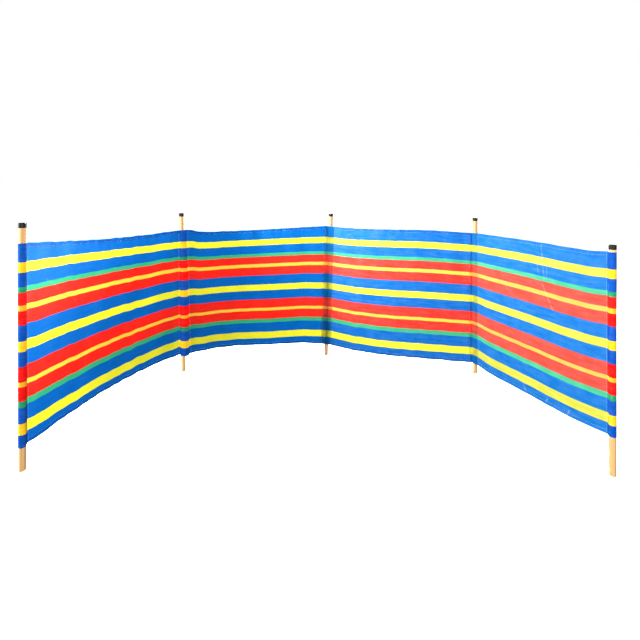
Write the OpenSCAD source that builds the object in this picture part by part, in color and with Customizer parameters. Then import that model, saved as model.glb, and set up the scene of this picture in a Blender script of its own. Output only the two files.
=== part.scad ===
// Beach windbreak: five round wooden poles in pockets of one striped cloth, in four bays.
// The origin is the middle of the foot of pole 3. +X is to the right, +Y behind, +Z up.
// Poles and bays count from left to right, as seen from the front.

/* [Poles] */
// Length of a wooden pole, without its cap
pole_len = 1148; // [850:1:1600]
// Diameter of a pole
pole_d = 32; // [20:0.5:40]
// Chamfer round both ends of a pole
pole_chamfer = 1.5; // [0.5:0.5:3]
// Lean of each pole, top to the right, in degrees
pole_lean = [0, -0.7, 2, 0, 0]; // [-4:0.1:4]
// Level of each foot above that of pole 3
foot_level = [0, 12, 0, -22, -118]; // [-150:1:150]

/* [Caps] */
// Height of a cap, with its closed top
cap_h = 24; // [12:0.5:40]
// Thickness of a cap's side wall
cap_wall = 1.2; // [0.8:0.1:4]
// Thickness of a cap's closed top
cap_top = 2; // [1:0.1:4]
// Rounding of a cap's upper edge
cap_round = 1.5; // [0.4:0.1:1.8]
// Gap between a pole and its cap, all round
cap_gap = 0.1; // [0.05:0.05:0.5]

/* [Layout] */
// Distance between the pole axes of each bay, left to right
bay_w = [1175, 1105, 1141, 1055]; // [850:5:1400]
// Heading of each bay, from +X towards +Y, in degrees
bay_heading = [70.8, 19, -16, -72.6]; // [-85:1:85]

/* [Cloth] */
// Height of the cloth
cloth_h = 945; // [700:5:1000]
// Thickness of a bay's cloth
cloth_t = 2; // [1:0.1:4]
// Bare length of each pole below the cloth
free_len = [105, 100, 95, 84, 178]; // [50:1:185]
// How far each bay bellies backwards at its hems
belly = [120, 110, -45, -15]; // [-140:1:140]
// Extra belly at half height, as a share of the belly at the hems
fullness = 0.25; // [0:0.05:0.5]
// How far each bay's upper edge sags
top_sag = [29, 30, 8, 5]; // [-30:1:40]
// How far each bay's lower edge lifts
hem_lift = [0, -8, -8, 8]; // [-30:1:40]

/* [Hems and sleeves] */
// Height of the folded hem along the upper and lower edge
hem_h = 22; // [10:1:40]
// Thickness of the hem's folded layer
hem_t = 1; // [0.5:0.1:3]
// Thickness of a pole's sleeve
sleeve_t = 1.4; // [0.8:0.1:3]
// Gap between a pole and its sleeve, all round
sleeve_gap = 0.3; // [0.1:0.1:1]

/* [Hidden] */
POLES = [1:5];
BAYS = [1:4];

// Gap between neighbouring pieces of cloth
seam_gap = 0.3;
// Steps along a bay, and steps up it between its hems
along = 12;
upward = 5;
$fn = 64;

wood = [0.91, 0.74, 0.52];
black_plastic = [0.13, 0.14, 0.12];
cloth_blue = [0.03, 0.40, 0.82];
seam_blue = [0.02, 0.28, 0.68];

pole_r = pole_d / 2;
sleeve_bore_r = pole_r + sleeve_gap;
sleeve_r = sleeve_bore_r + sleeve_t;
cap_bore_r = pole_r + cap_gap;
cap_r = cap_bore_r + cap_wall;
// Distance from a pole's axis to the edge of a bay's cloth
edge_r = sleeve_r + seam_gap;
// A hem as a share of the cloth's height
hem_share = hem_h / cloth_h;
// Shares of the height at which a bay's rows lie, with a row at each hem's inner edge
panel_shares = concat(
    [0],
    [for (k = [0:upward]) hem_share + (1 - 2 * hem_share) * k / upward],
    [1]
);
// Distance of the hem's middle behind the middle of the cloth
hem_offset = cloth_t / 2 + seam_gap + hem_t / 2;

// Step from one pole to the next along bay i
function bay_step(i) = bay_w[i - 1] * [cos(bay_heading[i - 1]), sin(bay_heading[i - 1]), 0];

// Plan position of pole i, stepped outwards from pole 3
function pole_at(i) =
    i == 3 ? [0, 0, 0] :
    i < 3 ? pole_at(i + 1) - bay_step(i) :
    pole_at(i - 1) + bay_step(i - 1);

// Middle of the foot of pole i
function foot_at(i) = pole_at(i) + [0, 0, foot_level[i - 1]];

// Point on the axis of pole i at the share v of the cloth's height
function on_axis(i, v) =
    let (s = free_len[i - 1] + v * cloth_h, a = pole_lean[i - 1])
    foot_at(i) + s * [sin(a), 0, cos(a)];

// Level direction from the pole on the left of bay i to the one on its right, at share v
function bay_dir(i, v) =
    let (d = on_axis(i + 1, v) - on_axis(i, v), w = norm([d[0], d[1]]))
    [d[0] / w, d[1] / w, 0];

// Point of bay i at shares u along and v up, moved backwards by off
function cloth_point(i, u, v, off) =
    let (
        d = bay_dir(i, v),
        back = [-d[1], d[0], 0],
        a = on_axis(i, v) + edge_r * d,
        b = on_axis(i + 1, v) - edge_r * d,
        wave = sin(180 * u),
        depth = belly[i - 1] * wave * (1 + fullness * sin(180 * v)),
        rise = wave * (hem_lift[i - 1] * (1 - v) - top_sag[i - 1] * v)
    )
    a + u * (b - a) + (depth + off) * back + [0, 0, rise];

// Moves what is drawn on the Z axis onto the axis of pole i
module on_pole(i) {
    translate(foot_at(i)) rotate([0, pole_lean[i - 1], 0]) children();
}

// Curved strip of bay i through the shares listed, of thickness t, with its middle at off
module strip(i, shares, off, t) {
    rows = len(shares) - 1;
    cols = along + 1;
    layer = cols * (rows + 1);
    points = [
        for (side = [-0.5, 0.5]) for (v = shares) for (j = [0:along])
            cloth_point(i, j / along, v, off + side * t)
    ];
    front = [
        for (k = [0:rows - 1]) for (j = [0:along - 1])
            let (p = k * cols + j)
            each [[p, p + cols, p + cols + 1], [p, p + cols + 1, p + 1]]
    ];
    back = [for (f = front) [f[0] + layer, f[2] + layer, f[1] + layer]];
    rim = concat(
        [for (j = [0:along]) j],
        [for (k = [1:rows]) k * cols + along],
        [for (j = [1:along]) rows * cols + along - j],
        [for (k = [1:rows - 1]) (rows - k) * cols]
    );
    edge = [
        for (m = [0:len(rim) - 1])
            let (p = rim[m], q = rim[(m + 1) % len(rim)])
            each [[p, q, q + layer], [p, q + layer, p + layer]]
    ];
    polyhedron(points = points, faces = concat(front, back, edge));
}

// Round wooden pole with chamfered ends
module pole(i) {
    color(wood) on_pole(i) rotate_extrude() polygon([
        [0, 0],
        [pole_r - pole_chamfer, 0],
        [pole_r, pole_chamfer],
        [pole_r, pole_len - pole_chamfer],
        [pole_r - pole_chamfer, pole_len],
        [0, pole_len]
    ]);
}

// Black plastic cap pushed over the top of a pole
module pole_cap(i) {
    rim_z = pole_len + cap_top - cap_h;
    top_z = pole_len + cap_top;
    turn = [for (a = [0:15:90]) [cap_r - cap_round + cap_round * cos(a), top_z - cap_round + cap_round * sin(a)]];
    color(black_plastic) on_pole(i) rotate_extrude() polygon(concat(
        [[0, pole_len], [cap_bore_r, pole_len], [cap_bore_r, rim_z], [cap_r, rim_z]],
        turn,
        [[0, top_z]]
    ));
}

// Pocket of cloth round a pole
module sleeve(i) {
    color(seam_blue) on_pole(i) translate([0, 0, free_len[i - 1]]) difference() {
        cylinder(r = sleeve_r, h = cloth_h);
        translate([0, 0, -1]) cylinder(r = sleeve_bore_r, h = cloth_h + 2);
    }
}

// Cloth of one bay, between two sleeves
module panel(i) {
    color(cloth_blue) strip(i, panel_shares, 0, cloth_t);
}

// Folded layer behind the upper edge of a bay
module top_hem(i) {
    color(seam_blue) strip(i, [1 - hem_share, 1], hem_offset, hem_t);
}

// Folded layer behind the lower edge of a bay
module bottom_hem(i) {
    color(seam_blue) strip(i, [0, hem_share], hem_offset, hem_t);
}

for (i = POLES) {
    pole(i);
    pole_cap(i);
    sleeve(i);
}
for (i = BAYS) {
    panel(i);
    top_hem(i);
    bottom_hem(i);
}
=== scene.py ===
# %% [markdown]
# # A beach windbreak
# A long strip of striped cloth stands on edge, held up by five round wooden poles with black
# plastic caps. The poles run through pockets sewn across the cloth, and between two pockets the
# cloth is free, so it bellies and sags a little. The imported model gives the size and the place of
# every pole and every bay of cloth. This lesson keeps the poles and the caps as they are, gives
# them wood and plastic, and sews the cloth again as thin sheets.

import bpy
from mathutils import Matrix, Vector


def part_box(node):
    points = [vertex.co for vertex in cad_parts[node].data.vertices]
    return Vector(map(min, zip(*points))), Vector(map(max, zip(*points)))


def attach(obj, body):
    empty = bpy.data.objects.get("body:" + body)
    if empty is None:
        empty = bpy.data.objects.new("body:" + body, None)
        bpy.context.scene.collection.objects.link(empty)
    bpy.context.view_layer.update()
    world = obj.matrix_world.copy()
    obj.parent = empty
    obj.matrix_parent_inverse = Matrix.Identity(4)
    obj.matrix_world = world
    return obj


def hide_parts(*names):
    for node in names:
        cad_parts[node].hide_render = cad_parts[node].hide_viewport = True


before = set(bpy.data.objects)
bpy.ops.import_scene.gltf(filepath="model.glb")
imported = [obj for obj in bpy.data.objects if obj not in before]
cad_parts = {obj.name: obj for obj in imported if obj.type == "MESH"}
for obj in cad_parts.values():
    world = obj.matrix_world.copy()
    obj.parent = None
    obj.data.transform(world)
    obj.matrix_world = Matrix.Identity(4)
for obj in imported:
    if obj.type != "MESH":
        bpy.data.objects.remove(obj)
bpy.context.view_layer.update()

import math

import bpy
import numpy as np
from mathutils import Vector

MM = 0.001
POLES = [1, 2, 3, 4, 5]
BAYS = [1, 2, 3, 4]

# %% [markdown]
# ## The camera
# The windbreak is seen from inside its curve, from standing height. The camera is level, so that
# the poles stay upright in the view, and its lens is shifted down, as on an architect's camera,
# to bring the feet into the frame.

# %% Place the camera
lens = bpy.data.cameras.new("camera")
lens.sensor_width = 36
lens.lens = 23.65
lens.shift_y = -0.186
camera = bpy.data.objects.new("camera", lens)
camera.location = (-0.049, -3.421, 1.251)
camera.rotation_euler = (math.radians(90), 0, 0)
bpy.context.scene.collection.objects.link(camera)
bpy.context.scene.camera = camera
print("camera at", tuple(round(c, 3) for c in camera.location))

# %% [markdown]
# ## Where the poles stand
# Every pole is a straight line from its foot to its top. A pole's box has its middle halfway up
# the axis, and its cap's box has its middle close to the upper end, so the two middles give the
# line, even where the pole leans.


# %% Read the pole axes and the height of the cloth at each pole
def pole_axis(i):
    """Foot and top of the axis of pole i: the top is the middle of the cap's box, and the foot
    lies as far on the other side of the pole's middle."""
    low, high = (np.array(c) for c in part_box(f"pole_{i}"))
    cap_low, cap_high = (np.array(c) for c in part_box(f"pole_cap_{i}"))
    top = (cap_low + cap_high) / 2
    foot = low + high - top
    foot[2], top[2] = low[2], high[2]
    return foot, top


AXES = {i: pole_axis(i) for i in POLES}
CLOTH_LOW = {i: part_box(f"sleeve_{i}")[0].z for i in POLES}
CLOTH_HIGH = {i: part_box(f"sleeve_{i}")[1].z for i in POLES}
CLOTH_H = CLOTH_HIGH[1] - CLOTH_LOW[1]
pole_low, pole_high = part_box("pole_1")
POLE_R = (pole_high.x - pole_low.x) / 2
print("pole radius", round(POLE_R / MM, 2), "mm, cloth height", round(CLOTH_H / MM, 1), "mm")


def axis_at(i, z):
    """Plan position of the axis of pole i at height z: the straight line from foot to top."""
    foot, top = AXES[i]
    share = (z - foot[2]) / (top[2] - foot[2])
    return foot[:2] + share[..., None] * (top[:2] - foot[:2])


# %% [markdown]
# ## How the cloth hangs
# Cloth between two poles is slack: it bellies out of the straight line between its seams, and
# its upper and lower edges sag. A simulation could find such a shape, but the belly of a
# windbreak depends on how far apart somebody pushed the poles in, so the shape is chosen here
# with a few numbers for each bay. Each bay is a function of two shares, one along it and one up
# it, and pockets, hems and stitches ask that function where the cloth is.


# %% Numbers that shape each bay
# Depth of the belly behind the line between the seams, and how far it leans to the left.
BELLY = {1: 120 * MM, 2: 110 * MM, 3: -45 * MM, 4: -15 * MM}
LEFTWARDS = {1: 0.0, 2: 0.4, 3: 0.0, 4: 0.0}
# Extra belly at half height, as a share.
FULLNESS = 0.12
# Height of a bay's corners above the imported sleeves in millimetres: upper left and right, then
# lower left and right.
CORNERS = {
    1: (5, -17, 6, 36),
    2: (-17, 9, 22, 1),
    3: (3, 8, -3, -4),
    4: (7, -9, -9, 16),
}
# Rise of the upper and lower edge above the straight line between its corners, in millimetres,
# as pairs of a share along the bay and a height.
UPPER_EDGE = {
    1: [(0, 0), (0.25, -17), (0.5, -27), (0.75, -21), (1, 0)],
    2: [(0, 0), (0.035, -4), (0.07, -16), (0.13, -22), (0.33, -26), (0.5, -23), (0.7, -14), (1, 0)],
    3: [(0, 0), (0.08, -4), (0.3, -3), (0.5, 3), (0.7, 8), (0.9, 3), (1, 0)],
    4: [(0, 0), (0.15, 1), (0.4, 2), (0.6, 0), (0.8, -6), (0.93, -6), (1, 0)],
}
LOWER_EDGE = {
    1: [
        (0, 0), (0.05, -12), (0.15, -20), (0.3, -29), (0.5, -29), (0.65, -19), (0.8, -9), (0.93, 0),
        (1, 0),
    ],
    2: [(0, 0), (0.07, 0), (0.3, -5), (0.53, -9), (0.7, 0), (0.87, 8), (1, 0)],
    3: [(0, 0), (0.12, -8), (0.45, -9), (0.65, -2), (0.8, 0), (1, 0)],
    4: [(0, 0), (0.12, -9), (0.3, -8), (0.5, -6), (0.72, -11), (0.88, -9), (1, 0)],
}
# Distance from a pole's axis to the stitches on its left and on its right, at the lower and at
# the upper edge, in millimetres.
STITCH_LEFT = {2: (35, 25), 3: (33, 33), 4: (30, 30), 5: (24, 24)}
STITCH_RIGHT = {1: (32, 27), 2: (45, 32), 3: (32, 34), 4: (34, 34)}
# How far the stitches lie in front of the axis.
STITCH_FRONT = {1: 2 * MM, 2: 15 * MM, 3: 15 * MM, 4: 6 * MM, 5: 2 * MM}


def through(x, pairs):
    """Smooth curve through pairs of a place and a value: a cubic between neighbours, whose slope
    at each pair comes from the pairs beside it."""
    place, value = np.array(pairs, float).T
    slope = np.gradient(value, place)
    k = np.clip(np.searchsorted(place, x, side="right") - 1, 0, len(place) - 2)
    width = place[k + 1] - place[k]
    t = np.clip((x - place[k]) / width, 0, 1)
    start = (1 + 2 * t) * (1 - t) ** 2 * value[k] + t * (1 - t) ** 2 * width * slope[k]
    end = t**2 * (3 - 2 * t) * value[k + 1] + t**2 * (t - 1) * width * slope[k + 1]
    return start + end


def turned(direction, angle):
    """A level direction turned to the left by an angle in radians."""
    c, s = math.cos(angle), math.sin(angle)
    return np.array([c * direction[0] - s * direction[1], s * direction[0] + c * direction[1]])


def bay_line(i):
    """Length and level direction of the straight line between the poles of bay i, at half the
    height of the cloth."""
    middle = np.array((CLOTH_LOW[i] + CLOTH_HIGH[i]) / 2)
    step = axis_at(i + 1, middle) - axis_at(i, middle)
    return np.linalg.norm(step), step / np.linalg.norm(step)


def leaving(i):
    """Direction in which the cloth leaves the left pole of bay i: the slope of the belly there
    is pi times its depth over its length, times one plus its lean."""
    length, direction = bay_line(i)
    return turned(direction, math.atan(math.pi * BELLY[i] * (1 + LEFTWARDS[i]) / length))


def arriving(i):
    """Direction in which the cloth arrives at the right pole of bay i."""
    length, direction = bay_line(i)
    return turned(direction, -math.atan(math.pi * BELLY[i] * (1 - LEFTWARDS[i]) / length))


def frontwards(i):
    """Level direction to the front at pole i, halfway between the fronts of its two bays."""
    sides = ([arriving(i - 1)] if i > 1 else []) + ([leaving(i)] if i < 5 else [])
    along = sum(sides) / np.linalg.norm(sum(sides))
    return turned(along, -math.pi / 2)


def stitch_line(i, side, z):
    """Plan position of the stitches on one side of pole i at height z: out from the axis along
    the cloth of that side, and a little to the front."""
    low, high = STITCH_LEFT[i] if side == "left" else STITCH_RIGHT[i]
    reach = MM * (low + (high - low) * np.clip((z - CLOTH_LOW[i]) / CLOTH_H, 0, 1))
    out = -arriving(i - 1) if side == "left" else leaving(i)
    return axis_at(i, z) + reach[..., None] * out + STITCH_FRONT[i] * frontwards(i)


for i in BAYS:
    print("bay", i, "is", round(bay_line(i)[0], 3), "m from pole to pole")

# %% [markdown]
# ## Creases and ripples
# Cloth that has been rolled up tightly never hangs quite smooth. Slow ripples run down a bay,
# and the hems pucker where the thread draws them in. Both are sums of sines with seeded random
# lengths and phases, and both fade out at the stitches, so that neighbouring pieces still meet.


# %% Ripples of a bay
# How slack each bay is: the ones on the left are the slackest, and all their ripples are larger.
SLACK = {1: 1.0, 2: 0.7, 3: 0.5, 4: 0.3}


def ripples(i, along, up, length):
    """How far the cloth of bay i stands to the back: slow slanting waves all over it, and a
    quick pucker that dies away from both hems. along and up are in metres."""
    rng = np.random.default_rng(40 + i)
    total = np.zeros(np.broadcast(along, up).shape)
    for _ in range(9):
        wave = rng.uniform(130, 420) * MM
        slant = rng.uniform(-0.5, 0.5)
        total = total + rng.uniform(0.5, 1.3) * MM * np.sin(
            2 * np.pi * (along + slant * up) / wave + rng.uniform(0, 2 * np.pi)
        )
    for _ in range(4):
        wave = rng.uniform(45, 95) * MM
        phase = rng.uniform(0, 2 * np.pi)
        near_hem = np.exp(-up / (45 * MM)) + np.exp(-np.abs(CLOTH_H - up) / (30 * MM))
        total = total + 0.9 * MM * near_hem * np.sin(2 * np.pi * along / wave + phase)
    fade = np.clip(np.minimum(along, length - along) / (70 * MM), 0, 1)
    return SLACK[i] * total * fade**2 * (3 - 2 * fade)


def edge_waves(i, along, length, seed):
    """Small rise and fall of an edge of bay i, in metres, where the hem is drawn in."""
    rng = np.random.default_rng(10 * i + seed)
    total = np.zeros(np.shape(along))
    for _ in range(6):
        wave = rng.uniform(70, 210) * MM
        height = rng.uniform(0.4, 1.0) * SLACK[i] * MM
        total = total + height * np.sin(2 * np.pi * along / wave + rng.uniform(0, 2 * np.pi))
    fade = np.clip(np.minimum(along, length - along) / (60 * MM), 0, 1)
    return total * fade


def bay_corners(i):
    """Heights of the four corners of bay i: upper left and right, lower left and right."""
    a, b, c, d = (MM * rise for rise in CORNERS[i])
    return CLOTH_HIGH[i] + a, CLOTH_HIGH[i + 1] + b, CLOTH_LOW[i] + c, CLOTH_LOW[i + 1] + d


def bay_cloth(i, u, v):
    """Point of bay i at the shares u along it and v up it: the straight line between the two
    rows of stitches, plus a belly of sin(pi u) that may lean to the left, plus the ripples. The
    height runs from the lower to the upper edge, each a straight line with its own curve."""
    length = bay_line(i)[0]
    up_left, up_right, low_left, low_right = bay_corners(i)
    high = up_left + u * (up_right - up_left) + MM * through(u, UPPER_EDGE[i])
    low = low_left + u * (low_right - low_left) + MM * through(u, LOWER_EDGE[i])
    high = high + edge_waves(i, u * length, length, 1)
    low = low + edge_waves(i, u * length, length, 2)
    z = low + v * (high - low)
    a, b = stitch_line(i, "right", z), stitch_line(i + 1, "left", z)
    across = b - a
    direction = across / np.linalg.norm(across, axis=-1, keepdims=True)
    back = np.stack([-direction[..., 1], direction[..., 0]], -1)
    belly = BELLY[i] * (np.sin(np.pi * u) + LEFTWARDS[i] / 2 * np.sin(2 * np.pi * u))
    depth = belly * (1 + FULLNESS * np.sin(np.pi * v)) + ripples(i, u * length, v * CLOTH_H, length)
    plan = a + u[..., None] * across + depth[..., None] * back
    return np.concatenate([plan, z[..., None]], -1)


def front_normal(i, u, v):
    """Unit normal of bay i towards the front: the cross product of the steps along and up."""
    step = 0.002
    along = bay_cloth(i, u + step, v) - bay_cloth(i, u - step, v)
    up = bay_cloth(i, u, v + step) - bay_cloth(i, u, v - step)
    normal = np.cross(along, up)
    return normal / np.linalg.norm(normal, axis=-1, keepdims=True)


for i in BAYS:
    dip = -min(rise for _, rise in UPPER_EDGE[i])
    print("bay", i, "has a slack of", SLACK[i], "and its upper edge dips by", dip, "mm")

# %% [markdown]
# ## Crease marks
# A sharp crease turns woven polyethylene white, and the mark stays after the cloth is smoothed
# out. Most of them are on the last bay, and the first and the third have two each. They could
# be painted in an image, but points that know how near they are to a crease need none, and the
# marks follow the cloth. Each crease is a short stroke between two points, given as shares along
# and up the bay, and then its strength. The same points also hold a painted sheen: an even share
# of white on the two bays on the right, where the lamps on the left fall on their faces.

# %% Crease marks of a bay
CREASES = {
    4: [
        (0.595, 0.99, 0.619, 0.76, 0.3), (0.605, 0.74, 0.676, 0.60, 0.32),
        (0.560, 0.87, 0.584, 0.775, 0.2), (0.637, 0.87, 0.635, 0.785, 0.2),
        (0.630, 0.02, 0.642, 0.04, 0.5), (0.455, 0.05, 0.475, 0.02, 0.5),
        (0.775, 0.01, 0.785, 0.035, 0.4), (0.300, 0.66, 0.345, 0.64, 0.2),
    ],
    3: [(0.42, 0.70, 0.50, 0.67, 0.2), (0.10, 0.90, 0.13, 0.96, 0.2)],
    1: [(0.12, 0.80, 0.20, 0.74, 0.2), (0.26, 0.70, 0.33, 0.64, 0.15)],
}
CREASE_WIDTH = 3 * MM
# Painted sheen: an even share of white on the two bays on the right, where the lamps on the left fall on
# their faces.
PAINTED_SHEEN = {1: 0.0, 2: 0.0, 3: 0.048, 4: 0.02}


def crease_marks_and_sheen(i, u, v):
    """White at each point of bay i: a stroke has its own strength, which falls off as a bell
    curve of the distance from the nearest point of the stroke, and the bay's painted sheen is the least."""
    length = bay_line(i)[0]
    place = np.stack([u * length, v * CLOTH_H], -1)
    marks = np.zeros(u.shape)
    for stroke in CREASES.get(i, []):
        start, end = np.array(stroke[:4]).reshape(2, 2) * (length, CLOTH_H)
        share = np.clip((place - start) @ (end - start) / np.sum((end - start) ** 2), 0, 1)
        distance = np.linalg.norm(place - start - share[..., None] * (end - start), axis=-1)
        marks = np.maximum(marks, stroke[4] * np.exp(-((distance / CREASE_WIDTH) ** 2)))
    return np.maximum(marks, PAINTED_SHEEN[i])


print("creases:", {i: len(strokes) for i, strokes in CREASES.items()})

# %% [markdown]
# ## A sheet becomes a mesh
# A sheet is a grid of points in rows and columns. The mesh gets one face for each cell of the
# grid, and a UV map in metres: how far along the cloth a point is, and how far below its upper
# edge. The stripes and the weave are drawn in that map, so they follow the cloth round every
# fold. The real cloth is about 0.15 mm thick, so a sheet is one surface here: light then passes
# it once, as it passes the real one.


# %% Turn grids into meshes
def add_grid(name, points, along, down):
    """Mesh object from points of shape (rows, columns, 3), with a UV map of the lengths along
    the cloth and down from its upper edge. Columns run to the right and rows upwards, so that
    the faces look to the front."""
    rows, columns = points.shape[:2]
    index = np.arange(rows * columns).reshape(rows, columns)
    corners = [index[:-1, :-1], index[:-1, 1:], index[1:, 1:], index[1:, :-1]]
    faces = np.stack(corners, -1).reshape(-1, 4)
    mesh = bpy.data.meshes.new(name)
    mesh.from_pydata(points.reshape(-1, 3), [], faces.tolist())
    shape = (rows, columns)
    pairs = np.stack([np.broadcast_to(along, shape), np.broadcast_to(down, shape)], -1)
    layer = mesh.uv_layers.new(name="cloth")
    layer.data.foreach_set("uv", pairs.reshape(-1, 2)[faces.ravel()].astype(np.float32).ravel())
    mesh.polygons.foreach_set("use_smooth", np.ones(len(faces), bool))
    made = bpy.data.objects.new(name, mesh)
    bpy.context.scene.collection.objects.link(made)
    return made


def finish_piece(piece, nodes, material):
    """A new piece rides on the one body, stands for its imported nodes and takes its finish."""
    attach(piece, "root")
    if nodes:
        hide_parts(*nodes)
    piece.data.materials.append(material)
    return piece


print("a sheet of 3 rows and 4 columns would have", (3 - 1) * (4 - 1), "faces")

# %% [markdown]
# ## Colour and nodes
# Colours are written as the eye names them, in sRGB hex, and one function turns them to the
# linear values that a renderer works in. One more function adds a node with its settings and
# its links, so that a material reads as a list of what feeds what.


# %% Colour and node helpers
def linear(hex_colour):
    """Linear RGBA of an sRGB hex colour: each channel over 12.92 where it is dark, and
    otherwise raised to the power 2.4 after an offset of 0.055."""
    channels = [int(hex_colour[k : k + 2], 16) / 255 for k in (1, 3, 5)]
    return (*[c / 12.92 if c <= 0.04045 else ((c + 0.055) / 1.055) ** 2.4 for c in channels], 1.0)


def add(tree, kind, inputs=None, **settings):
    """Adds one node. settings are the node's own properties, and inputs are numbers, colours or
    the sockets of other nodes."""
    made = tree.nodes.new(kind)
    for name, value in settings.items():
        setattr(made, name, value)
    for key, value in (inputs or {}).items():
        if isinstance(value, bpy.types.NodeSocket):
            tree.links.new(value, made.inputs[key])
        else:
            made.inputs[key].default_value = value
    return made


def new_material(name):
    """An empty material with its output node."""
    material = bpy.data.materials.new(name)
    material.use_nodes = True
    material.node_tree.nodes.clear()
    return material, material.node_tree, add(material.node_tree, "ShaderNodeOutputMaterial")


def set_ramp(ramp, stops, interpolation="LINEAR"):
    """Fills a colour ramp with pairs of a place and a hex colour."""
    ramp.interpolation = interpolation
    while len(ramp.elements) < len(stops):
        ramp.elements.new(0.5)
    for element, (place, colour) in zip(ramp.elements, stops):
        element.position = place
        element.color = linear(colour)


# A wave texture of scale 1 repeats every 2 pi over 20 units.
WAVE_PERIOD = 0.314
print("the middle grey #808080 is", round(linear("#808080")[0], 3), "in linear light")

# %% [markdown]
# ## The striped cloth
# Windbreak cloth is woven from flat tapes of polyethylene, a little over a millimetre wide, and
# coloured in lengthwise stripes. Two things make it look like itself. Light that falls on its
# face comes back a little milky, because the tapes are shiny and scuffed. Light that comes
# through from behind is stained by the whole thickness, so it is deep and pure. A single
# Principled shader gives only the first, so this material mixes a Principled shader in milky
# colours with a Translucent shader in pure ones. The milky colours are partly the scuffs and
# partly a painted sheen: the white that the shine of the tapes adds is painted into the face colour.

# %% The order and the colours of the stripes
# Share of the height at which each stripe starts, from the upper edge down, and its colour.
STRIPES = [
    (0.000, "blue"), (0.091, "yellow"), (0.143, "blue"), (0.212, "green"), (0.242, "red"),
    (0.3035, "orange"), (0.3315, "red"), (0.401, "blue"), (0.477, "yellow"), (0.530, "blue"),
    (0.604, "red"), (0.678, "orange"), (0.702, "red"), (0.770, "green"), (0.802, "blue"),
    (0.879, "yellow"), (0.935, "blue"),
]
# The face of the cloth, made milky by scuffs and by a painted sheen of white.
MILKY = {
    "blue": "#0a94fa", "yellow": "#f9fa5e", "green": "#58efb2", "red": "#f86755", "orange": "#fde06a",
}
# Light that has come through the cloth.
PURE = {
    "blue": "#00529f", "yellow": "#deda21", "green": "#289463", "red": "#e91007", "orange": "#efbc36",
}
# Round a pole the brown of the wood shows through the cloth and makes the yellows warmer.
OVER_WOOD = {
    "blue": "#004eb4", "yellow": "#f6c41c", "green": "#1f9263", "red": "#e60c06", "orange": "#f0b02c",
}
print(len(STRIPES), "stripes in", len(PURE), "colours")


# %% Stripes, wear and weave of the cloth
def stripe_place(tree, uv):
    """Share of the height of the cloth at each point, from the upper edge down. It is the
    distance down over the height. Borders between stripes step from tape to tape, so a noise
    moves the distance by up to 1.6 mm."""
    fray = add(tree, "ShaderNodeMapping", {"Vector": uv, "Scale": (400, 60, 1)})
    fray = add(tree, "ShaderNodeTexNoise", {"Vector": fray.outputs[0], "Scale": 1.0, "Detail": 1.0})
    down = add(tree, "ShaderNodeSeparateXYZ", {0: uv}).outputs["Y"]
    moved = {0: fray.outputs[0], 1: 1.6 * MM, 2: down}
    moved = add(tree, "ShaderNodeMath", moved, operation="MULTIPLY_ADD")
    return add(tree, "ShaderNodeMath", {0: moved.outputs[0], 1: CLOTH_H}, operation="DIVIDE").outputs[0]


def striped(tree, share, palette):
    """Colour of the stripe at each share of the height, from a ramp without blending."""
    ramp = add(tree, "ShaderNodeValToRGB", {"Fac": share})
    set_ramp(ramp.color_ramp, [(start, palette[colour]) for start, colour in STRIPES], "CONSTANT")
    return ramp.outputs["Color"]


def worn_and_sheened(tree, uv, colour):
    """The colour with its wear and a painted sheen: streaks times scuffs make it up to 18 percent
    darker or 4 percent lighter. White is mixed in too: up to 2 percent in the same pattern, and
    more where the sheet's attribute holds crease marks and the painted sheen of the bay."""
    # Streaks 18 mm high and 120 mm long run along the tapes. Scuffs are clouds 90 mm across.
    streaks = add(tree, "ShaderNodeMapping", {"Vector": uv, "Scale": (1 / (120 * MM), 1 / (18 * MM), 1)})
    streaks = add(tree, "ShaderNodeTexNoise", {"Vector": streaks.outputs[0], "Scale": 1.0, "Detail": 3.0})
    scuffs = {"Vector": uv, "Scale": 1 / (90 * MM), "Detail": 6.0, "Roughness": 0.75}
    scuffs = add(tree, "ShaderNodeTexNoise", scuffs)
    both = {0: streaks.outputs[0], 1: scuffs.outputs[0]}
    both = add(tree, "ShaderNodeMath", both, operation="MULTIPLY")
    span = {"Value": both.outputs[0], "From Min": 0.15, "From Max": 0.4}
    shade = add(tree, "ShaderNodeMapRange", {**span, "To Min": 0.82, "To Max": 1.04})
    uneven = {"Fac": 1.0, "Color1": colour, "Color2": shade.outputs[0]}
    uneven = add(tree, "ShaderNodeMixRGB", uneven, blend_type="MULTIPLY")
    paler = add(tree, "ShaderNodeMapRange", {**span, "To Min": 0.0, "To Max": 0.02})
    patchy = add(tree, "ShaderNodeMapRange", {**span, "To Min": 0.2, "To Max": 1.8})
    wear_and_sheen = add(tree, "ShaderNodeAttribute", attribute_name="wear_and_sheen")
    white = {0: wear_and_sheen.outputs["Fac"], 1: patchy.outputs[0], 2: paler.outputs[0]}
    white = add(tree, "ShaderNodeMath", white, operation="MULTIPLY_ADD")
    whitened = {"Fac": white.outputs[0], "Color1": uneven.outputs[0], "Color2": (1, 1, 1, 1)}
    return add(tree, "ShaderNodeMixRGB", whitened).outputs[0]


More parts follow.
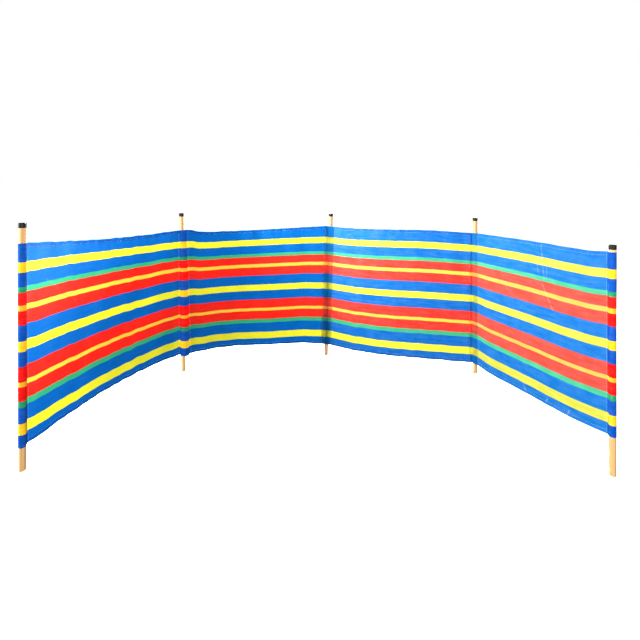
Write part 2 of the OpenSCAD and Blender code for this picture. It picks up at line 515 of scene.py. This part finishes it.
def woven_normal(tree, uv):
    """Normal of the weave: two sets of waves at right angles, times each other, under a fine
    crinkle 25 mm across. Tapes are about 1.3 mm wide, drawn 4 mm wide so that they show. The map
    is scaled by the period of a wave over that width."""
    tapes = []
    for turn in (0.0, math.pi / 2):
        way = {"Vector": uv, "Rotation": (0, 0, turn), "Scale": (WAVE_PERIOD / (4 * MM),) * 3}
        way = add(tree, "ShaderNodeMapping", way)
        band = add(tree, "ShaderNodeTexWave", {"Vector": way.outputs[0], "Scale": 1.0, "Distortion": 0.0})
        tapes.append(band.outputs[1])
    crossed = add(tree, "ShaderNodeMath", {0: tapes[0], 1: tapes[1]}, operation="MULTIPLY").outputs[0]
    weave = add(tree, "ShaderNodeBump", {"Strength": 0.35, "Distance": 0.4 * MM, "Height": crossed})
    crinkle = add(tree, "ShaderNodeTexNoise", {"Vector": uv, "Scale": 1 / (25 * MM), "Detail": 4.0})
    folds = {"Strength": 0.4, "Distance": 1.5 * MM, "Height": crinkle.outputs[0]}
    return add(tree, "ShaderNodeBump", {**folds, "Normal": weave.outputs[0]}).outputs[0]


print("stripes, wear and weave are ready")


# %% The material of the cloth
def woven_cloth(name, face_colours, share_through, power=1.0, gloss=0.15):
    """Woven polyethylene, drawn in the UV map in metres. share_through is the share of the light
    that goes on through the cloth. Its colour is the pure one to a power: one below 1 makes it
    paler, for cloth that lies on cloth and would be stained twice. gloss is how strong the shine
    is."""
    material, tree, output = new_material(name)
    uv = add(tree, "ShaderNodeUVMap", uv_map="cloth").outputs["UV"]
    share = stripe_place(tree, uv)
    face_colour = worn_and_sheened(tree, uv, striped(tree, share, face_colours))
    stain = {"Color": striped(tree, share, PURE), "Gamma": power}
    stain = add(tree, "ShaderNodeGamma", stain).outputs[0]
    normal = woven_normal(tree, uv)
    # Extruded tapes are smooth, but the weave breaks the shine up, so the cloth looks satin.
    shine = {"Roughness": 0.48, "IOR": 1.5, "Specular IOR Level": gloss}
    face = {"Base Color": face_colour, "Normal": normal, **shine}
    face = add(tree, "ShaderNodeBsdfPrincipled", face)
    behind = add(tree, "ShaderNodeBsdfTranslucent", {"Color": stain, "Normal": normal})
    mixed = {0: share_through, 1: face.outputs[0], 2: behind.outputs[0]}
    mixed = add(tree, "ShaderNodeMixShader", mixed)
    tree.links.new(mixed.outputs[0], output.inputs["Surface"])
    return material


# One layer: it glows in full colour where the light is behind it.
cloth_material = woven_cloth("striped_woven_polyethylene", MILKY, 0.43)
# Two layers with a pole between them: a slightly darker band down the cloth.
flat_pocket_material = woven_cloth("striped_polyethylene_in_two_layers", MILKY, 0.55, power=0.5)
# Pulled tight round a pole: deep colours, and hardly any light through it.
round_pocket_material = woven_cloth("striped_polyethylene_round_a_pole", OVER_WOOD, 0.2, gloss=0.04)
# A hem lies on the bay, which has stained the light already.
hem_material = woven_cloth("striped_polyethylene_hem", MILKY, 0.85, power=0.12)
print("cloth materials made: one layer, two layers, round a pole, hem")

# %% [markdown]
# ## The bays
# A bay is a single panel of cloth about a metre long. A cloth simulation could drop it into
# place, but the shape is known here as a formula, so each bay is a grid of points put through
# it. A point about every five millimetres is fine enough for the puckers of the hems.

# %% Make the four bays
COLUMNS = 210
ROWS = 160
# Every bay's UV map starts this far on from the one before, in metres, so that no two bays have
# the same scuffs.
NEXT_BAY = 1.3
# The stripes of a slack bay sit a little higher in its upper half and lower in its lower half.
SLIP = {1: 12 * MM, 2: 7 * MM, 3: 3 * MM, 4: 3 * MM}
for i in BAYS:
    u = np.linspace(0, 1, COLUMNS)[None, :]
    v = np.linspace(0, 1, ROWS)[:, None]
    u, v = np.broadcast_arrays(u, v)
    along = i * NEXT_BAY + u * bay_line(i)[0]
    # The slip is a cosine from the upper edge to the lower, and a parabola along the bay.
    slip = SLIP[i] * np.cos(np.pi * (1 - v)) * 4 * u * (1 - u)
    bay = add_grid(f"bay_{i}", bay_cloth(i, u, v), along, (1 - v) * CLOTH_H + slip)
    # The wear attribute holds the bay's crease marks and its painted sheen.
    wear_and_sheen = bay.data.attributes.new("wear_and_sheen", "FLOAT", "POINT")
    wear_and_sheen.data.foreach_set("value", crease_marks_and_sheen(i, u, v).astype(np.float32).ravel())
    finish_piece(bay, [f"panel_{i}"], cloth_material)

# %% [markdown]
# ## The pockets
# A pole runs through a pocket. At the two ends of the windbreak the cloth is folded back round
# the pole and stitched to itself, so the pocket is a closed loop, like a belt round a drum that
# is pulled to a point. At the three poles between, a strip of the same cloth is sewn to the
# back, so the front stays nearly flat and the strip bulges behind the pole. A plain tube would
# be simpler, but it would show none of this, so every layer is worked out from the stitches.

# %% Numbers that shape the pockets
# Space between two layers, and between a back layer or a tail and the cloth in front of it.
GAP = 1.0 * MM
BEHIND = 1.5 * MM
# A back layer goes this far past the stitches.
TAIL = 12 * MM
# Inner radius of the cloth round a pole.
LOOP_R = POLE_R + 1.2 * MM
# The front of the second pole's pocket is slack and stands over the pole, more so low down. The
# fronts of the next two are taut, with a fold down them: how far the fold is pushed back, and
# how far to the right of the axis it lies at the lower and at the upper edge.
HUMP_LOW = 21 * MM
HUMP_HIGH = 4 * MM
FOLD_DEPTH = {3: 5.5 * MM, 4: 9 * MM}
FOLD_PLACE = {3: (13 * MM, -18 * MM), 4: (-14 * MM, -14 * MM)}
# The larger this number, the tighter the bend of a fold.
FOLD_BEND = 9
# How far the lower edge of a pocket hangs below the bays beside it.
HANG = {2: 12 * MM, 3: 1 * MM, 4: 0.0}
# Width of the UV map of an end pocket, in metres. It is a little more than the cloth has, which
# doesn't show, because the stripes run along it.
END_UV_WIDTH = 0.16
print("cloth runs round a pole at", round(LOOP_R / MM, 1), "mm from its axis")


# %% Pockets at the three middle poles
def pocket_heights(i, t, v):
    """Height of a middle pocket at the shares t across it and v up it. Its corners are those of
    the two bays, and it hangs lower between them: fully, except over the outer 12 percent of its
    width on each side."""
    up_left, up_right = bay_corners(i - 1)[1], bay_corners(i)[0]
    low_left, low_right = bay_corners(i - 1)[3], bay_corners(i)[2]
    hang = HANG[i] * np.clip(np.minimum(t, 1 - t) / 0.12, 0, 1)
    high = up_left + t * (up_right - up_left)
    low = low_left + t * (low_right - low_left) - hang
    return low + v * (high - low)


def pocket_hump(i, t, v, centre, behind, width, layer):
    """How far a layer of a middle pocket stands to the back of the line between its stitches.
    centre is the share of the width at which the pole lies, and behind is how far its axis lies
    behind that line."""
    place = np.where(t < centre, 0.5 * t / centre, 0.5 + 0.5 * (t - centre) / (1 - centre))
    if layer == "back":
        return (behind + LOOP_R + GAP) * np.sin(np.pi * place) + GAP
    if i == 2:
        return -(HUMP_LOW + np.sqrt(v) * (HUMP_HIGH - HUMP_LOW)) * np.sin(np.pi * place) ** 2
    low, high = FOLD_PLACE[i]
    fold = centre + (low + v * (high - low)) / width
    slopes = np.exp(-FOLD_BEND * t / fold) + np.exp(-FOLD_BEND * (1 - t) / (1 - fold))
    return FOLD_DEPTH[i] * -np.log(slopes) / FOLD_BEND


def middle_pocket(i, t, v, layer):
    """Point of the front or back layer of a middle pocket: the straight line between its two
    rows of stitches, plus a hump. The slack front is a raised cosine, a fold is the lower of two
    straight slopes with its corner rounded, and the back is a half sine that goes round the pole
    with a millimetre to spare."""
    z = pocket_heights(i, t, v)
    a, b = stitch_line(i, "left", z), stitch_line(i, "right", z)
    across = b - a
    width = np.linalg.norm(across, axis=-1)
    direction = across / width[..., None]
    back = np.stack([-direction[..., 1], direction[..., 0]], -1)
    to_axis = axis_at(i, z) - a
    centre = np.sum(to_axis * direction, -1) / width
    behind = np.sum(to_axis * back, -1)
    hump = pocket_hump(i, t, v, centre, behind, width, layer)
    plan = a + t[..., None] * across + hump[..., None] * back
    return np.concatenate([plan, z[..., None]], -1)


def tail(i, u, v):
    """Edge of a pocket's back layer, which lies flat behind bay i past the stitches."""
    return bay_cloth(i, u, v) - BEHIND * front_normal(i, u, v)


def joined(name, grids):
    """One mesh object from several grids, each a tuple of points, lengths along and down."""
    parts = [add_grid(f"{name}_{k}", *grid) for k, grid in enumerate(grids)]
    with bpy.context.temp_override(active_object=parts[0], selected_editable_objects=parts):
        bpy.ops.object.join()
    parts[0].name = name
    parts[0].data.name = name
    return parts[0]


v_line = np.linspace(0, 1, ROWS)[:, None]
down_line = (1 - v_line) * CLOTH_H
tail_steps = np.linspace(TAIL / 4, TAIL, 4)[None, :]
pockets = {}
for i in (2, 3, 4):
    width = MM * (STITCH_LEFT[i][0] + STITCH_RIGHT[i][0])
    t, v = np.broadcast_arrays(np.linspace(0, 1, 34)[None, :], v_line)
    front_layer = middle_pocket(i, t, v, "front"), t * width, down_line
    t, v = np.broadcast_arrays(np.linspace(0, 1, 26)[None, :], v_line)
    back = middle_pocket(i, t, v, "back")
    left_u, v = np.broadcast_arrays(1 - tail_steps[:, ::-1] / bay_line(i - 1)[0], v_line)
    right_u, v = np.broadcast_arrays(tail_steps / bay_line(i)[0], v_line)
    back = np.concatenate([tail(i - 1, left_u, v), back, tail(i, right_u, v)], 1)
    along = np.linspace(-TAIL, width + TAIL, back.shape[1])[None, :]
    # The columns of the back layer run to the right, so its faces look to the front like a bay's.
    back_layer = back, along, down_line
    pocket = joined(f"pocket_{i}", [front_layer, back_layer])
    material = round_pocket_material if i == 2 else flat_pocket_material
    pockets[i] = finish_piece(pocket, [f"sleeve_{i}"], material)
print("middle pockets made:", sorted(pockets))


# %% Pockets at the two end poles
def end_pocket(i, t, v):
    """Point of the loop at an end pole: from the stitches in a straight line to the pole, round
    it, and straight back to the stitches. With the stitches at a distance a from the axis, each
    straight stretch is the root of a squared less r squared."""
    high_left, high_right, low_left, low_right = bay_corners(1 if i == 1 else 4)
    low, high = (low_left, high_left) if i == 1 else (low_right, high_right)
    z = low + v * (high - low)
    centre = axis_at(i, z)
    stitches = stitch_line(i, "right" if i == 1 else "left", z)
    to_stitches = stitches - centre
    a = np.linalg.norm(to_stitches, axis=-1)
    e = to_stitches / a[..., None]
    turn_right = 1 if i == 1 else -1
    front = turn_right * np.stack([e[..., 1], -e[..., 0]], -1)
    straight = np.sqrt(a**2 - LOOP_R**2)
    opening = np.arccos(LOOP_R / a)
    arc = LOOP_R * (2 * np.pi - 2 * opening)
    s = t * (2 * straight + arc)
    turn = opening + np.clip(s - straight, 0, arc) / LOOP_R
    on_arc = centre + LOOP_R * (np.cos(turn)[..., None] * e + np.sin(turn)[..., None] * front)
    share = np.clip(s / straight, 0, 1)[..., None]
    back_share = np.clip((s - straight - arc) / straight, 0, 1)[..., None]
    plan = stitches + share * (on_arc - stitches)
    plan = plan + back_share * (stitches - BEHIND * front - on_arc)
    return np.concatenate([plan, z[..., None]], -1)


for i, bay in ((1, 1), (5, 4)):
    t, v = np.broadcast_arrays(np.linspace(0, 1, 40)[None, :], v_line)
    loop = end_pocket(i, t, v)
    offsets = tail_steps / bay_line(bay)[0]
    tail_u, v = np.broadcast_arrays(offsets if i == 1 else 1 - offsets, v_line)
    points = np.concatenate([loop, tail(bay, tail_u, v)], 1)
    # Both loops start in front, but one runs to the left and the other to the right.
    if i == 1:
        points = points[:, ::-1]
    along = np.linspace(0, END_UV_WIDTH, points.shape[1])[None, :]
    pocket = add_grid(f"pocket_{i}", points, along, down_line)
    pockets[i] = finish_piece(pocket, [f"sleeve_{i}"], round_pocket_material)
print("all pockets made:", sorted(pockets))

# %% [markdown]
# ## The hems
# The upper and lower edges of the cloth are folded to the back and stitched down. A hem could be
# one more row of the bay's own grid, but it is two layers thick and lets light through in
# another way. So it is a sheet of its own: a short profile is carried along the edge, from just
# in front of the cloth, over the edge and down behind it.

# %% Make the hems
# Profile of a hem in millimetres: distance inwards from the edge, and in front of the cloth.
HEM_LIP = [(1.2, 0.45), (0, 0.45), (-0.5, 0.2), (-0.7, -0.4), (-0.5, -1.0)]
HEM_BACK = [(0, -1.3), (4, -1.4), (11, -1.3), (18, -1.2), (22, -1.1)]


def hem_strip(i, edge):
    """Points of a hem: the profile is carried along the edge of bay i, inwards along the cloth
    and forwards along its normal. At the upper edge the profile is turned round, so that its
    rows run upwards in front there too."""
    inwards, forwards = (np.array(HEM_LIP + HEM_BACK) * MM).T
    distance = inwards[:, None] / CLOTH_H
    u = np.linspace(0, 1, COLUMNS)[None, :]
    u, v = np.broadcast_arrays(u, 1 - distance if edge == "top" else distance)
    normal = front_normal(i, u, np.clip(v, 0.01, 0.99))
    points = bay_cloth(i, u, v) + forwards[:, None, None] * normal
    along = i * NEXT_BAY + u * bay_line(i)[0]
    down = np.abs(inwards)[:, None]
    if edge == "top":
        return points[::-1], along, down[::-1]
    return points, along, CLOTH_H - down


hems = {}
for i in BAYS:
    for edge in ("top", "bottom"):
        hem = add_grid(f"hem_{edge}_{i}", *hem_strip(i, edge))
        hems[edge, i] = finish_piece(hem, [f"{edge}_hem_{i}"], hem_material)
print("hems made:", len(hems))

# %% [markdown]
# ## The stitching
# Straight rows of pale thread hold the hems down and close the pockets. A stitch shows as a
# short bead of thread that is thick in the middle and dives into the cloth at both ends, on the
# front and on the back. There are thousands of them, so each is a spindle of twelve faces, and
# all the stitches of a bay are one mesh worked out at once.

# %% Shape of a stitch
STITCH = 4.6 * MM
PITCH = 7 * MM
THREAD_R = 0.4 * MM
# Distance of a hem's row from the edge, and of a side row from the end of the bay.
HEM_ROW = 19 * MM
SEAM_ROW = 6 * MM
# Height of a stitch above the front of the cloth, and behind it at a hem and at a pocket.
ON_FRONT = 0.15 * MM
BEHIND_HEM = 1.6 * MM
BEHIND_POCKET = 1.9 * MM


def spindles(name, start, end, normal):
    """Mesh object of one spindle for each pair of points: two rings of four points between its
    two tips, in the directions of the normal and of the normal turned about the axis."""
    axis = end - start
    side = np.cross(axis, normal)
    side = side / np.linalg.norm(side, axis=-1, keepdims=True)
    round_it = [side, normal, -side, -normal]
    rings = [start + share * axis + THREAD_R * d for share in (0.3, 0.7) for d in round_it]
    points = np.stack([start, *rings, end], 1)
    first = 10 * np.arange(len(start))[:, None, None]
    k = np.arange(4)
    after = (k + 1) % 4
    quads = np.stack([1 + k, 1 + after, 5 + after, 5 + k], -1)
    first_tip = np.stack([0 * k, 1 + after, 1 + k], -1)
    last_tip = np.stack([9 + 0 * k, 5 + k, 5 + after], -1)
    tips = np.concatenate([first_tip, last_tip])
    faces = (first + quads).reshape(-1, 4).tolist() + (first + tips).reshape(-1, 3).tolist()
    mesh = bpy.data.meshes.new(name)
    mesh.from_pydata(points.reshape(-1, 3), [], faces)
    mesh.polygons.foreach_set("use_smooth", np.ones(len(faces), bool))
    made = bpy.data.objects.new(name, mesh)
    bpy.context.scene.collection.objects.link(made)
    return made


def stitching(i):
    """All stitches of bay i: a row near its upper and lower edge, and a row down each side, on
    the front and behind the hem or the pocket's edge."""
    length = bay_line(i)[0]
    # A row along the bay stops 10 and 12 mm short of its ends, and a row down it 4 and 8 mm.
    along = np.arange(10 * MM, length - 12 * MM, PITCH) / length
    down = np.arange(4 * MM, CLOTH_H - 8 * MM, PITCH) / CLOTH_H
    low, left = HEM_ROW / CLOTH_H, SEAM_ROW / length
    rows = [(along, np.full(along.shape, v), STITCH / length, 0) for v in (low, 1 - low)]
    rows += [(np.full(down.shape, u), down, 0, STITCH / CLOTH_H) for u in (left, 1 - left)]
    starts, ends, normals = [], [], []
    for u, v, step_u, step_v in rows:
        normal = front_normal(i, u, v)
        behind = BEHIND_HEM if step_u else BEHIND_POCKET
        for offset, facing in ((ON_FRONT, normal), (-behind, -normal)):
            starts.append(bay_cloth(i, u, v) + offset * normal)
            ends.append(bay_cloth(i, u + step_u, v + step_v) + offset * normal)
            normals.append(facing)
    start, end, normal = (np.concatenate(part) for part in (starts, ends, normals))
    return spindles(f"stitching_{i}", start, end, normal), len(normal)


print("a stitch is", round(STITCH / MM, 1), "mm long, one every", round(PITCH / MM, 1), "mm")


# %% Sew the rows of stitches
def sewing_thread(name):
    """Pale polyester thread, a twisted pair: slanting bands 0.8 mm apart, painted lighter on their
    crests and darker in their grooves as painted highlights and shade. It looks like a row of small
    soft highlights, and some light comes through it, as through the cloth."""
    material, tree, output = new_material(name)
    place = add(tree, "ShaderNodeTexCoord").outputs["Object"]
    twist = add(tree, "ShaderNodeMapping", {"Vector": place, "Scale": (WAVE_PERIOD / (0.8 * MM),) * 3})
    twist = {"Vector": twist.outputs[0], "Scale": 1.0}
    twist = add(tree, "ShaderNodeTexWave", twist, bands_direction="DIAGONAL").outputs["Fac"]
    # Painted highlights and shade: lighter on the crests of the twist, darker in its grooves.
    colour = add(tree, "ShaderNodeValToRGB", {"Fac": twist})
    set_ramp(colour.color_ramp, [(0.2, "#c9d2e2"), (0.8, "#f2f5fa")])
    bump = add(tree, "ShaderNodeBump", {"Strength": 0.4, "Distance": 0.1 * MM, "Height": twist})
    thread = {"Base Color": colour.outputs[0], "Roughness": 0.6, "Sheen Weight": 0.2}
    thread = add(tree, "ShaderNodeBsdfPrincipled", {**thread, "Normal": bump.outputs[0]})
    behind = add(tree, "ShaderNodeBsdfTranslucent", {"Color": colour.outputs[0]})
    mixed = {0: 0.4, 1: thread.outputs[0], 2: behind.outputs[0]}
    mixed = add(tree, "ShaderNodeMixShader", mixed)
    tree.links.new(mixed.outputs[0], output.inputs["Surface"])
    return material


thread_material = sewing_thread("pale_polyester_thread")
rows_of_stitches = []
for i in BAYS:
    stitches, count = stitching(i)
    finish_piece(stitches, [], thread_material)
    rows_of_stitches.append(stitches)
    print("bay", i, "has", count, "stitches")

# %% [markdown]
# ## The wood and the caps
# The poles are softwood dowels, sanded and left bare, and the caps are moulded in black
# plastic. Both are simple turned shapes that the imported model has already, so they keep their
# meshes and only get a finish. Straight grain runs along a dowel. Noise stretched along the
# pole gives that with no image, and it follows the pole because it reads Object coordinates.


# %% Wood of the poles
def softwood(name):
    """Bare softwood, with the grain along Z in Object coordinates. Sanding leaves it matt, and
    the eye sees soft lines of two pale browns. The lines are a millimetre or two apart on real
    wood and 5 mm wide here, so that they show. Fibres 1.2 mm wide roughen the surface."""
    material, tree, output = new_material(name)
    place = add(tree, "ShaderNodeTexCoord").outputs["Object"]
    grain = {"Vector": place, "Scale": (1 / (5 * MM), 1 / (5 * MM), 1 / 0.35)}
    grain = add(tree, "ShaderNodeMapping", grain)
    grain = {"Vector": grain.outputs[0], "Scale": 1.0, "Detail": 4.0, "Distortion": 0.4}
    grain = add(tree, "ShaderNodeTexNoise", grain)
    colour = add(tree, "ShaderNodeValToRGB", {"Fac": grain.outputs[0]})
    set_ramp(colour.color_ramp, [(0.3, "#b5874f"), (0.5, "#d0a46c"), (0.72, "#dcb47e")])
    fibre = {"Vector": place, "Scale": (1 / (1.2 * MM), 1 / (1.2 * MM), 1 / 0.06)}
    fibre = add(tree, "ShaderNodeMapping", fibre)
    fibre = add(tree, "ShaderNodeTexNoise", {"Vector": fibre.outputs[0], "Scale": 1.0, "Detail": 2.0})
    bump = {"Strength": 0.3, "Distance": 0.3 * MM, "Height": fibre.outputs[0]}
    bump = add(tree, "ShaderNodeBump", bump)
    wood = {"Base Color": colour.outputs[0], "Roughness": 0.62, "Specular IOR Level": 0.3}
    wood = add(tree, "ShaderNodeBsdfPrincipled", {**wood, "Normal": bump.outputs[0]})
    tree.links.new(wood.outputs[0], output.inputs["Surface"])
    return material


def moulded_plastic(name):
    """Black polyethylene from a plain mould, with grain 1.5 mm across. It looks almost black,
    with a weak and blurred shine."""
    material, tree, output = new_material(name)
    place = add(tree, "ShaderNodeTexCoord").outputs["Object"]
    grain = add(tree, "ShaderNodeTexNoise", {"Vector": place, "Scale": 1 / (1.5 * MM), "Detail": 2.0})
    colour = add(tree, "ShaderNodeValToRGB", {"Fac": grain.outputs[0]})
    set_ramp(colour.color_ramp, [(0.35, "#131410"), (0.7, "#1d1e18")])
    bump = {"Strength": 0.2, "Distance": 0.1 * MM, "Height": grain.outputs[0]}
    bump = add(tree, "ShaderNodeBump", bump)
    plastic = {"Base Color": colour.outputs[0], "Roughness": 0.42, "Specular IOR Level": 0.15}
    plastic = add(tree, "ShaderNodeBsdfPrincipled", {**plastic, "Normal": bump.outputs[0]})
    tree.links.new(plastic.outputs[0], output.inputs["Surface"])
    return material


wood_material = softwood("bare_softwood_dowel")
cap_material = moulded_plastic("moulded_black_polyethylene")
pole_pieces = {name: node for name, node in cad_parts.items() if name.startswith("pole")}
for name, node in pole_pieces.items():
    node.data.materials.clear()
    node.data.materials.append(cap_material if "cap" in name else wood_material)
print("poles and caps finished:", len(pole_pieces))

# %% [markdown]
# ## The floor
# The windbreak stands in a white studio, where the floor and the wall are too bright to show any
# shadow. A white floor alone would come out grey in this light, so it also glows by itself. It
# is hidden from the cloth, which would otherwise be lit from below.

# %% Lay the floor
FLOOR_HALF = 40.0
floor_z = min(foot[2] for foot, _ in AXES.values())
corners = [(-1, -1), (1, -1), (1, 1), (-1, 1)]
floor_mesh = bpy.data.meshes.new("floor")
floor_mesh.from_pydata([(x * FLOOR_HALF, y * FLOOR_HALF, floor_z) for x, y in corners], [], [(0, 1, 2, 3)])
floor = bpy.data.objects.new("floor", floor_mesh)
bpy.context.scene.collection.objects.link(floor)
floor_material, tree, output = new_material("white_studio_floor")
matt = add(tree, "ShaderNodeBsdfDiffuse", {"Color": linear("#ffffff")})
glow = add(tree, "ShaderNodeEmission", {"Color": linear("#ffffff"), "Strength": 1.0})
both = add(tree, "ShaderNodeAddShader", {0: matt.outputs[0], 1: glow.outputs[0]})
tree.links.new(both.outputs[0], output.inputs["Surface"])
floor.data.materials.append(floor_material)
floor.visible_diffuse = False
floor.visible_glossy = False
floor.visible_transmission = False
print("floor at", round(floor_z, 3), "m")

# %% [markdown]
# ## The lamps
# Thin cloth is lit from both sides, and its colour depends on which side wins. A large soft lamp
# at the back shines through the bays. A small one high on the left gives the edges of shade that
# a sun would give, and a wide one on the left lights the faces of the bays on the right, which
# makes them milky. Where a pole is in the way, hardly any light comes through. So a fourth lamp
# in front is linked only to the poles, the caps, the stitches and the pockets wrapped round a
# pole. On the bays it would drown the light from behind. Those pockets and the stitches cast no
# shadow, or they would put dark lines beside the poles.


# %% Place the lamps
def softbox(name, place, target, width, height, watts):
    """An area lamp at a place, turned towards a target, that the camera doesn't see."""
    lamp = bpy.data.lights.new(name, "AREA")
    lamp.shape = "RECTANGLE"
    lamp.size = width
    lamp.size_y = height
    lamp.energy = watts
    made = bpy.data.objects.new(name, lamp)
    made.location = place
    made.rotation_euler = (Vector(target) - Vector(place)).to_track_quat("-Z", "Y").to_euler()
    made.visible_camera = False
    bpy.context.scene.collection.objects.link(made)
    return made


softbox("key", (-1.75, -0.14, 2.35), (0, 0, 0.6), width=0.3, height=0.3, watts=100)
softbox("back", (0.9, 3.2, 2.2), (0.3, -0.3, 0.5), width=3.5, height=1.5, watts=570)
softbox("left_fill", (-3.6, -1.9, 1.8), (0.9, -0.3, 0.4), width=1.5, height=1.5, watts=330)
front = softbox("front_fill", (0.7, -4.6, 1.9), (0, -0.5, 0.6), width=3.0, height=2.0, watts=225)
round_pockets = [pockets[i] for i in (1, 2, 5)]
for piece in round_pockets + rows_of_stitches:
    piece.visible_shadow = False
lit_from_the_front = bpy.data.collections.new("lit_from_the_front")
for piece in [*pole_pieces.values(), *rows_of_stitches, *round_pockets]:
    lit_from_the_front.objects.link(piece)
front.light_linking.receiver_collection = lit_from_the_front
print("lamps: key, back, left_fill and front_fill")

# %% [markdown]
# ## The white room
# The world is the rest of the room. The camera sees it in full white, and the pieces get only a
# sixth of that, so that the lamps still give the cloth its light and shade.

# %% Light the room
ROOM_LIGHT = 0.165
world = bpy.data.worlds.new("white_room")
bpy.context.scene.world = world
world.use_nodes = True
tree = world.node_tree
tree.nodes.clear()
seen = add(tree, "ShaderNodeBackground", {"Color": (1, 1, 1, 1), "Strength": 1.0})
fill = add(tree, "ShaderNodeBackground", {"Color": (1, 1, 1, 1), "Strength": ROOM_LIGHT})
path = add(tree, "ShaderNodeLightPath")
mixed = {0: path.outputs["Is Camera Ray"], 1: fill.outputs[0], 2: seen.outputs[0]}
mixed = add(tree, "ShaderNodeMixShader", mixed)
add(tree, "ShaderNodeOutputWorld", {"Surface": mixed.outputs[0]})
# The Standard view shows every colour as it is, so white stays white.
bpy.context.scene.view_settings.view_transform = "Standard"
print("room light:", ROOM_LIGHT)
